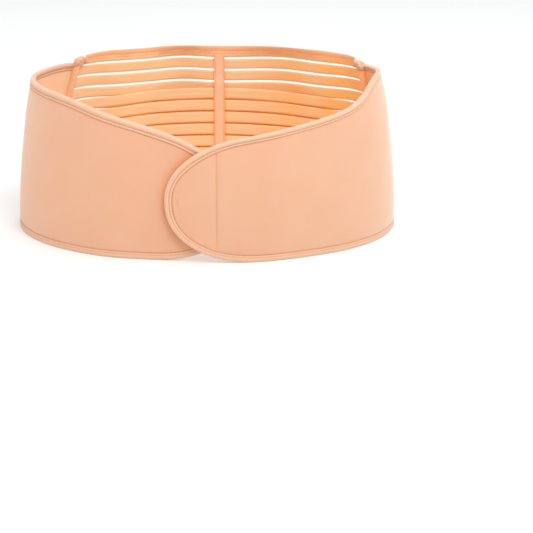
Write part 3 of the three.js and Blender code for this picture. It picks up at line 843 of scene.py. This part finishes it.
# A painted lighter patch in the painted shade on the right half of the bands.
LIT_PATCH = {"along": 0.106, "reach": 0.013, "share": 0.7}
BAND_LAP = 0.0045
TOP_BAND_STOP = 0.0025
BOTTOM_BAND_PAST = 0.0018
BOTTOM_TUCK = 0.8
BOUND_EDGE_INSET = 0.0013
FIRST_INNER_BAND = 4
INNER_DEPTH = -BAND_THICKNESS - LAYER_GAP
INNER_RAISE = 0.0062
INNER_RAISE_HEIGHT = 0.100
INNER_RAISE_FALL = 1.6
BOW_LOW = 0.010
BOW_FULL = 0.050
BOW_FADE = 0.142
BOW_AT_TOP = 0.3
CENTRE_TAPE_ALONG = 0.012
BOWS = (
    {"from": -0.062, "to": CENTRE_TAPE_ALONG, "out": 0.008},
    {"from": CENTRE_TAPE_ALONG, "to": 0.130, "out": 0.008},
)
JOINT_TUCK = 0.0051
JOINT_EASE = 0.030


def distance_from_joint(along, height):
    from_left = along + joint_along(PANELS["left"], height)
    from_right = joint_along(PANELS["right"], height) - along
    return np.minimum(from_left, from_right)


def joint_pull(along, height):
    return (1 - np.clip(distance_from_joint(along, height) / JOINT_EASE, 0, 1)) ** 2


def slit_closing(along, height):
    """How far each edge of a slit moves in where the joint gathers the bands."""
    shut = 1 - smooth_step(0, SLIT_EASE, distance_from_joint(along, height))
    return (INNER_SLIT - SLIT_AT_JOINT) / 2 * shut


def outer_bow(along, height):
    bow = sum(row["out"] * bump_over(along, row) for row in BOWS)
    bound = np.clip((height - BOW_FADE) / (BACK_TOP - BOW_FADE), 0, 1)
    slack = 1 + (BOW_AT_TOP - 1) * bound
    return bow * slack * smooth_step(BOW_LOW, BOW_FULL, height)


def inner_raise(along, height):
    left_end = -joint_along(PANELS["left"], height)
    right_end = joint_along(PANELS["right"], height)
    end = np.where(along < CENTRE_TAPE_ALONG, left_end, right_end)
    share = np.clip((CENTRE_TAPE_ALONG - along) / (CENTRE_TAPE_ALONG - end), 0, 1)
    return INNER_RAISE * np.sqrt(height / INNER_RAISE_HEIGHT) * (1 - share**2) ** INNER_RAISE_FALL


def top_dip(along, height):
    """How far the back's top edge dips, over the left half and towards both joints."""
    share = np.clip((height - TOP_DIP_FROM) / (BACK_TOP - TOP_DIP_FROM), 0, 1)
    on_edge = np.clip(along, BACK_TOP_EDGE[0][0], BACK_TOP_EDGE[-1][0])
    return share * (BACK_TOP - edge_height(BACK_TOP_EDGE, on_edge))


def back_point(layer, tucked, along, height, depth):
    raised = height - top_dip(along, height)
    depth = depth - JOINT_TUCK * tucked * joint_pull(along, height)
    if layer == "outer":
        depth = depth + outer_bow(along, height)
    else:
        depth = depth + INNER_DEPTH
        raised = raised + inner_raise(along, height)
    return wall_point(along, raised, depth)


def back_along(share, height, past):
    left = -joint_along(PANELS["left"], height) - past
    right = joint_along(PANELS["right"], height) + past
    return left + (right - left) * share


def slit_height(number):
    return FIRST_SLIT - BAND_PITCH * (number - 1)


def elastic_weave(nodes, links, place, cloth):
    """Rubber ribs along the band, crossed by fine threads."""
    ribs = wave_relief(nodes, links, cloth, "Y", 290, distortion=0.6)
    threads = wave_relief(nodes, links, cloth, "X", 520, distortion=1.0)
    woven = blended_reliefs(nodes, links, ribs, threads, 0.35)
    stretch = nodes.new("ShaderNodeMapping")
    stretch.inputs["Scale"].default_value = (20, 800, 1)
    links.new(cloth, stretch.inputs["Vector"])
    streaks = nodes.new("ShaderNodeMapRange")
    streaks.inputs["From Min"].default_value = 0.32
    streaks.inputs["From Max"].default_value = 0.68
    links.new(noise_relief(nodes, links, stretch.outputs["Vector"], 1, 3), streaks.inputs["Value"])
    return streaks.outputs["Result"], woven, 0.00022


# Painted glow: the elastic's shaded faces glow orange, standing in for light coming through it.
BAND_ELASTIC = fabric(
    "band_elastic", pale=(0.95, 0.635, 0.375), deep=(0.93, 0.55, 0.28), painted_shade=(0.88, 0.36, 0.02),
    sheen=0.15, glow=0.0, roughness=0.72, valley_shade=0.12, weave=elastic_weave, painted_glow=0.2,
)


def band_ring(low, high):
    """Flat band seen end on, with soft edges and a slight crown: height and depth."""
    half = BAND_THICKNESS / 2
    face = np.linspace(0, 1, 7)[1:-1]
    edge = np.radians([60, 0, -60])
    top = np.stack([high - half + half * np.cos(edge), half * np.sin(edge) - half], 1)
    bottom = np.stack([low + half - half * np.cos(edge), -half * np.sin(edge) - half], 1)
    crown = BAND_CROWN * (1 - (2 * face - 1) ** 2)
    outer = np.stack([low + (high - low) * face, crown], 1)
    inner = np.stack([high - (high - low) * face, -BAND_THICKNESS - crown], 1)
    return np.concatenate([outer, top, inner, bottom])


def build_band(layer, number):
    is_top = number == 0
    is_bottom = number == SLIT_COUNT
    slit = SLIT if layer == "outer" else INNER_SLIT
    high = BACK_TOP - BOUND_EDGE_INSET if is_top else slit_height(number) - slit / 2
    low = BOUND_EDGE_INSET if is_bottom else slit_height(number + 1) + slit / 2
    past = BAND_LAP
    if is_top:
        past = -TOP_BAND_STOP
    if is_bottom:
        past = BOTTOM_BAND_PAST
    height, depth = band_ring(low, high).T
    share = np.linspace(0, 1, BAND_STEPS + 1)[:, None]
    along = back_along(share, height, past)
    up = (height - low) / (high - low)
    rise = np.where(is_top or is_bottom, 0, up)
    drop = np.where(number + 1 < SLIT_COUNT, 1 - up, 0)
    eased = height + (rise - drop) * slit_closing(along, height)
    points = back_point(layer, BOTTOM_TUCK if is_bottom else 1, along, eased, depth)
    cloth_place = np.stack(np.broadcast_arrays(along, height), -1)
    # Painted shade on the bands' inner faces: full on the outer bands behind the inner layer, and elsewhere
    # growing towards the right, with a painted lighter patch.
    shaded = layer == "outer" and number >= FIRST_INNER_BAND
    on_inside = depth < -0.9 * BAND_THICKNESS
    from_lit_patch = (along - LIT_PATCH["along"]) / LIT_PATCH["reach"]
    beside_lit_patch = 1 - LIT_PATCH["share"] * np.exp(-(from_lit_patch**2))
    right_shade = RIGHT_SHADE * smooth_step(RIGHT_SHADE_FROM, RIGHT_SHADE_FULL, along) * beside_lit_patch
    painted_shade = np.where(on_inside, SHADED_FACE if shaded else right_shade, 0)
    piece = loft_piece(f"{layer}_elastic_{number:02d}", points, cloth_place, painted_shade, BAND_ELASTIC)
    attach(piece, "root")
    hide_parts(f"{layer}_band_{number:02d}")


for number in range(SLIT_COUNT + 1):
    build_band("outer", number)
    if number >= FIRST_INNER_BAND:
        build_band("inner", number)

# Back bindings
# The same knit tape is folded over the first band at the top of the back and over the last bands below.
# It is sewn with one line; the top one stops at the joints, and the lower one is tucked behind the panels.
BACK_BINDING_WIDTH = 0.0084
BACK_BINDING_FULLNESS = 0.4
BACK_STITCH_SINK = -0.0001
BOTTOM_WALL = 2 * BAND_THICKNESS + LAYER_GAP
# A deeper orange copy of the binding cloth: painted light, for the orange light bounced between the bands.
BACK_BINDING_CLOTH = fabric(
    "back_binding_cloth", pale=(0.94, 0.51, 0.295), deep=(0.93, 0.44, 0.225), painted_shade=(0.90, 0.28, 0.05),
    sheen=0.2, glow=0.0, roughness=0.8, valley_shade=0.14, weave=knit_ribs,
)


def build_back_binding(name, node, wall, place_on_back):
    left, right = place_on_back(np.array([0.0, 1.0]), np.zeros(2), np.zeros(2), ends_only=True)
    stitches = int((right - left) / STITCH_PITCH)
    walk = np.arange(stitches * STATIONS_PER_STITCH + 1) * (STITCH_PITCH / STATIONS_PER_STITCH)
    ring = binding_ring(BACK_BINDING_WIDTH, wall, BACK_BINDING_FULLNESS)

    def place(walked, inset, depth):
        return place_on_back(walked / walk[-1], inset, depth)

    points = binding_points(ring, walk, place)
    across = walk_along(ring["inset"], ring["depth"])
    cloth_place = np.stack(np.broadcast_arrays(walk[:, None], across), -1)
    piece = loft_piece(name, points, cloth_place, binding_painted_shade(ring, walk), BACK_BINDING_CLOTH)
    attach(piece, "root")
    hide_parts(node)
    sewn = walk[::STATIONS_PER_STITCH, None]
    line_inset = np.full_like(sewn, STITCH_LINE * BACK_BINDING_WIDTH)
    outer_line = place(sewn, line_inset, np.full_like(sewn, BACK_STITCH_SINK))[:, 0]
    inner_line = place(sewn, line_inset, np.full_like(sewn, -wall - BACK_STITCH_SINK))[:, 0]
    sew(name + "_stitches", [outer_line, inner_line])


def on_back_top(share, inset, depth, ends_only=False):
    height = BACK_TOP - inset
    along = back_along(share, height, -TOP_BAND_STOP)
    return along if ends_only else back_point("outer", 1, along, height, depth)


def on_back_bottom(share, inset, depth, ends_only=False):
    along = back_along(share, inset, BOTTOM_BAND_PAST)
    return along if ends_only else back_point("outer", BOTTOM_TUCK, along, inset, depth)


build_back_binding("back_top_folded_binding", "back_top_binding", BAND_THICKNESS, on_back_top)
build_back_binding("back_bottom_folded_binding", "back_bottom_binding", BOTTOM_WALL, on_back_bottom)

# Centre tape
# A woven tape runs up the inside of the centre back and holds the bands at their spacing.
# It is sewn down along both edges and across its top end, and steps out where the inner layer ends.
CENTRE_TAPE_WIDTH = 0.0108
CENTRE_TAPE_STEPS = 110
TAPE_THICKNESS = 0.001
# A row holds the place across from one edge, the dip into the face, and the painted shade.
TAPE_EDGE = (
    (0.00000, 0.00045, 1.0),
    (0.00025, 0.00012, 0.6),
    (0.00090, 0.00000, 0.1),
    (0.00130, 0.00012, 0.3),
    (0.00160, 0.00022, 0.6),
    (0.00190, 0.00012, 0.3),
    (0.00240, 0.00000, 0.0),
    (0.00340, -0.00005, 0.0),
)
TAPE_CROWN = 0.00008
TAPE_BACK_INSET = 0.0002
TAPE_GAP = 0.0004
INNER_LAYER_END = 0.113
INNER_LAYER_CLEAR = 0.125
TAPE_STITCH_INSET = 0.0016
TAPE_STITCH_SINK = 0.00005
TAPE_CROSS_ROWS = (0.0009, 0.0028)
TAPE_CROSS_PITCH = 0.0019
TAPE_END_SHADE = 0.7
TAPE_END_REACH = 0.0006


def tape_weave(nodes, links, place, cloth):
    """Close plain weave of the tape."""
    warp = wave_relief(nodes, links, cloth, "X", 450)
    weft = wave_relief(nodes, links, cloth, "Y", 450)
    woven = blended_reliefs(nodes, links, warp, weft, 0.5)
    return noise_relief(nodes, links, place, 90, 3), woven, 0.00016


TAPE_CLOTH = fabric(
    "tape_cloth", pale=(0.94, 0.60, 0.39), deep=(0.91, 0.54, 0.33), painted_shade=(0.95, 0.34, 0.07),
    sheen=0.3, glow=0.0, roughness=0.8, valley_shade=0.15, weave=tape_weave,
)


def tape_ring():
    """Tape seen end on, with the sewn lines pressed into its inner face: across, depth and painted shade."""
    across, dip, painted_shade = (np.array(column) for column in zip(*TAPE_EDGE))
    width = CENTRE_TAPE_WIDTH
    face_depth = -TAPE_THICKNESS + np.concatenate([dip, [-TAPE_CROWN], dip[::-1]])
    back = [width - TAPE_BACK_INSET, TAPE_BACK_INSET]
    return (
        np.concatenate([across, [width / 2], width - across[::-1], back]),
        np.concatenate([face_depth, [0, 0]]),
        np.concatenate([painted_shade, [0], painted_shade[::-1], [1, 1]]),
    )


def on_centre_back(across, height, depth):
    over_inner = INNER_DEPTH - BAND_THICKNESS - TAPE_GAP
    step = smooth_step(INNER_LAYER_END, INNER_LAYER_CLEAR, height)
    face = over_inner + (INNER_DEPTH - over_inner) * step
    return wall_point(CENTRE_TAPE_ALONG - CENTRE_TAPE_WIDTH / 2 + across, height, face + depth)


def build_centre_tape():
    low = BACK_BINDING_WIDTH + TAPE_GAP
    high = BACK_TOP - BACK_BINDING_WIDTH - TAPE_GAP
    across, depth, painted_shade = tape_ring()
    height = np.linspace(low, high, CENTRE_TAPE_STEPS + 1)[:, None]
    points = on_centre_back(across, height, depth)
    cloth_place = np.stack(np.broadcast_arrays(height, across), -1)
    # Painted shade across the tape's top end.
    painted_shade = np.maximum(painted_shade, TAPE_END_SHADE * np.exp((height - high) / TAPE_END_REACH))
    piece = loft_piece("centre_sewn_tape", points, cloth_place, painted_shade, TAPE_CLOTH)
    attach(piece, "root")
    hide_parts("centre_tape")
    sink = -TAPE_THICKNESS + TAPE_STITCH_SINK
    upright = np.arange(low + STITCH_PITCH, high - STITCH_PITCH, STITCH_PITCH)
    rows = (TAPE_STITCH_INSET, CENTRE_TAPE_WIDTH - TAPE_STITCH_INSET)
    lines = [on_centre_back(row, upright, sink) for row in rows]
    cross = np.arange(TAPE_STITCH_INSET, CENTRE_TAPE_WIDTH - TAPE_STITCH_INSET / 2, TAPE_CROSS_PITCH)
    lines += [on_centre_back(cross, high - drop, sink) for drop in TAPE_CROSS_ROWS]
    sew("centre_sewn_tape_stitches", lines)


build_centre_tape()

# Joint tapes
# A soft tape covers the tucked band ends on the inside of each joint, sewn through near the bands.
# Its other edge turns down onto the panel and leaves a fold line there.
JOINT_TAPE_LOW = 0.002
JOINT_TAPE_HIGH = 0.147
JOINT_TAPE_STEPS = 120
JOINT_TAPE_SEWN = 0.0032
JOINT_STITCH_DEPTH = -0.00925
JOINT_SEWN_TO = 0.138
REAR_SEAM = 0.0047
# A row holds the place across from the joint, the depth, and the painted shade.
JOINT_TAPE_FACE = (
    (0.0022, -0.0085, 0.25),
    (0.0025, -0.0088, 0.10),
    (0.0030, -0.0089, 0.15),
    (0.0038, -0.0087, 0.00),
    (0.0046, -0.0079, 0.00),
    (0.0054, -0.0067, 0.00),
    (0.0061, -0.0055, 0.00),
    (0.0067, -0.0044, 0.15),
    (0.0072, -0.0036, 0.40),
)
JOINT_TAPE_BACK = 0.0007
# Painted shade on the right joint tape, which lies in shade.
JOINT_SHADE = {"left": 0.0, "right": 0.4}
JOINT_GATHER = 0.00022
JOINT_GATHER_PITCH = 0.0059
JOINT_GATHER_DRIFT = 0.031
JOINT_GATHER_SWAY = 1.5
# Points with less painted shade than this are gathered.
LOOSE_BELOW_PAINTED_SHADE = 0.8
JOINT_CLOTH = fabric(
    "joint_cloth", pale=(0.92, 0.58, 0.37), deep=(0.89, 0.51, 0.30), painted_shade=(0.95, 0.33, 0.06),
    sheen=0.3, glow=0.0, roughness=0.8, valley_shade=0.12, weave=tape_weave,
)


def build_joint_tape(side, panel):
    across, depth, painted_shade = (np.array(column) for column in zip(*JOINT_TAPE_FACE))
    ring_across = np.concatenate([across, across[::-1]])
    ring_depth = np.concatenate([depth, depth[::-1] + JOINT_TAPE_BACK])
    ring_painted_shade = np.concatenate([painted_shade + JOINT_SHADE[side], np.ones(len(across))])
    height = np.linspace(JOINT_TAPE_LOW, JOINT_TAPE_HIGH, JOINT_TAPE_STEPS + 1)[:, None]
    sway = JOINT_GATHER_SWAY * np.sin(2 * math.pi * height / JOINT_GATHER_DRIFT)
    gathered = JOINT_GATHER * np.sin(2 * math.pi * height / JOINT_GATHER_PITCH + sway)

    def on_joint(across, height, depth):
        return wall_point(panel["turn"] * (joint_along(panel, height) + across), height, depth)

    points = on_joint(ring_across, height, ring_depth + gathered * (ring_painted_shade < LOOSE_BELOW_PAINTED_SHADE))
    cloth_place = np.stack(np.broadcast_arrays(height, ring_across), -1)
    piece = loft_piece(f"{side}_joint_sewn_tape", points, cloth_place, ring_painted_shade, JOINT_CLOTH)
    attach(piece, "root")
    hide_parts(f"{side}_joint_tape")
    sewn = np.arange(JOINT_TAPE_LOW + STITCH_PITCH, JOINT_SEWN_TO, STITCH_PITCH)
    inner_line = on_joint(JOINT_TAPE_SEWN, sewn, JOINT_STITCH_DEPTH)
    seam = np.arange(BOUND_WIDTH + STITCH_PITCH, JOINT_SEWN_TO - BOUND_WIDTH, STITCH_PITCH)
    seam_along = joint_along(panel, seam) + REAR_SEAM
    seam_inset = np.minimum(seam, panel_top(panel, seam_along) - seam)
    outer_line = on_joint(REAR_SEAM, seam, outer_face(side, seam_inset, seam_along, seam))
    sew(f"{side}_joint_stitches", [inner_line, outer_line])


for side, panel in PANELS.items():
    build_joint_tape(side, panel)

# Joint folds
# Where the back's binding meets a panel's, the tape and the binding ends are turned over the top edge.
# They stand there as two soft, gathered lumps.
FOLDS = (
    {"from": -0.0042, "to": 0.0024, "low": 0.1414, "high": 0.1478, "far_high": 0.1484, "half_depth": 0.0042},
    {"from": 0.0002, "to": 0.0098, "low": 0.1380, "high": 0.1496, "far_high": 0.1456, "half_depth": 0.0050},
)
FOLD_DEPTH = -0.0046
FOLD_BLUNTNESS = 2.6
FOLD_SQUARENESS = 0.75
FOLD_STATIONS = 25
FOLD_RING = 32
FOLD_END = 0.08
GATHERS = (
    {"depth": 0.07, "round": 3, "across": 7, "start": 0},
    {"depth": 0.05, "round": 7, "across": -11, "start": 1},
)
GATHER_SHADE = 4
DEEPEST_GATHER_SHADE = 0.4


def build_joint_fold(side, panel, number, fold):
    share = (1 - np.cos(np.linspace(FOLD_END, math.pi - FOLD_END, FOLD_STATIONS)[:, None])) / 2
    angle = np.linspace(0, 2 * math.pi, FOLD_RING, endpoint=False)
    swell = (1 - np.abs(2 * share - 1) ** FOLD_BLUNTNESS) ** (1 / FOLD_BLUNTNESS)
    gather = 1 + sum(
        row["depth"] * np.sin(row["round"] * angle + row["across"] * share + row["start"])
        for row in GATHERS
    )
    up = rounded_power(np.cos(angle), FOLD_SQUARENESS) * swell * gather
    out = rounded_power(np.sin(angle), FOLD_SQUARENESS) * swell * gather
    along = panel["turn"] * (panel["joint"] + fold["from"] + (fold["to"] - fold["from"]) * share)
    high = fold["high"] + (fold["far_high"] - fold["high"]) * share
    height = (fold["low"] + high) / 2 + up * (high - fold["low"]) / 2
    points = wall_point(along, height, FOLD_DEPTH + out * fold["half_depth"])
    cloth_place = np.stack(np.broadcast_arrays(along, height), -1)
    # Painted shade in the hollows of the gathers.
    painted_shade = np.clip((1 - gather) * GATHER_SHADE, 0, DEEPEST_GATHER_SHADE)
    piece = loft_piece(f"{side}_joint_lump_{number}", points, cloth_place, painted_shade, BINDING_CLOTH)
    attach(piece, "root")
    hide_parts(f"{side}_joint_fold_{number}")


for side, panel in PANELS.items():
    for index, fold in enumerate(FOLDS):
        build_joint_fold(side, panel, index + 1, fold)

# Studio
# A plain pale floor that glows a little and an even white surround, for a nearly white ground.
# Four soft lamps: one in front, a warm one on the left, a cool one on the right and one behind.
FLOOR_REACH = 6.0
FLOOR_TONE = (0.63, 0.63, 0.63, 1)
FLOOR_GLOW = 0.23
FLOOR_ROUGHNESS = 0.9
SURROUND_STRENGTH = 0.60
LAMP_AIM = Vector((0, 0, 0.07))
LAMPS = {
    "front_lamp": {"place": (0.65, -1.6, 2.3), "size": 1.6, "power": 43.5, "tint": (1, 1, 1)},
    "left_lamp": {"place": (-1.9, -0.9, 1.3), "size": 1.2, "power": 12, "tint": (1, 0.92, 0.84)},
    "right_lamp": {"place": (1.9, -0.6, 1.7), "size": 1.6, "power": 16, "tint": (0.74, 0.95, 1)},
    "rear_lamp": {"place": (0.1, 0.9, 2.3), "size": 1.6, "power": 17, "tint": (1, 1, 1)},
}

floor_corners = [(x * FLOOR_REACH, y * FLOOR_REACH, 0) for x, y in ((-1, -1), (1, -1), (1, 1), (-1, 1))]
floor_mesh = bpy.data.meshes.new("floor")
floor_mesh.from_pydata(floor_corners, [], [(0, 1, 2, 3)])
floor = bpy.data.objects.new("floor", floor_mesh)
bpy.context.scene.collection.objects.link(floor)
floor_paint = bpy.data.materials.new("floor_paint")
floor_paint.use_nodes = True
floor_shader = floor_paint.node_tree.nodes["Principled BSDF"]
floor_shader.inputs["Base Color"].default_value = FLOOR_TONE
floor_shader.inputs["Emission Color"].default_value = (1, 1, 1, 1)
floor_shader.inputs["Emission Strength"].default_value = FLOOR_GLOW
floor_shader.inputs["Roughness"].default_value = FLOOR_ROUGHNESS
floor_mesh.materials.append(floor_paint)

surround = bpy.data.worlds.new("surround")
surround.use_nodes = True
surround.node_tree.nodes["Background"].inputs["Color"].default_value = (1, 1, 1, 1)
surround.node_tree.nodes["Background"].inputs["Strength"].default_value = SURROUND_STRENGTH
bpy.context.scene.world = surround

for name, row in LAMPS.items():
    lamp = bpy.data.lights.new(name, "AREA")
    lamp.shape = "DISK"
    lamp.size = row["size"]
    lamp.energy = row["power"]
    lamp.color = row["tint"]
    holder = bpy.data.objects.new(name, lamp)
    holder.location = row["place"]
    holder.rotation_mode = "QUATERNION"
    holder.rotation_quaternion = (LAMP_AIM - Vector(row["place"])).to_track_quat("-Z", "Y")
    bpy.context.scene.collection.objects.link(holder)
bpy.context.scene.view_settings.view_transform = "Standard"

# Camera
# It looks from the photograph's angle, from the front and a little above the belt.
# It is turned so that the belt stands up and to the left in the frame.
CAMERA_PLACE = Vector((0.00181, -1.54042, 0.46463))
CAMERA_YAW = math.radians(1.9883)
CAMERA_PITCH = math.radians(-18.1052)
CAMERA_ROLL = math.radians(0.5164)
LENS_MM = 116.331
SENSOR_MM = 36.0
camera_view = bpy.data.cameras.new("camera")
camera_view.lens = LENS_MM
camera_view.sensor_width = SENSOR_MM
camera = bpy.data.objects.new("camera", camera_view)
camera.location = CAMERA_PLACE
looking = Vector((
    math.sin(CAMERA_YAW) * math.cos(CAMERA_PITCH),
    math.cos(CAMERA_YAW) * math.cos(CAMERA_PITCH),
    math.sin(CAMERA_PITCH),
))
camera.rotation_mode = "QUATERNION"
camera.rotation_quaternion = looking.to_track_quat("-Z", "Y") @ Quaternion((0, 0, 1), CAMERA_ROLL)
bpy.context.scene.collection.objects.link(camera)
bpy.context.scene.camera = camera
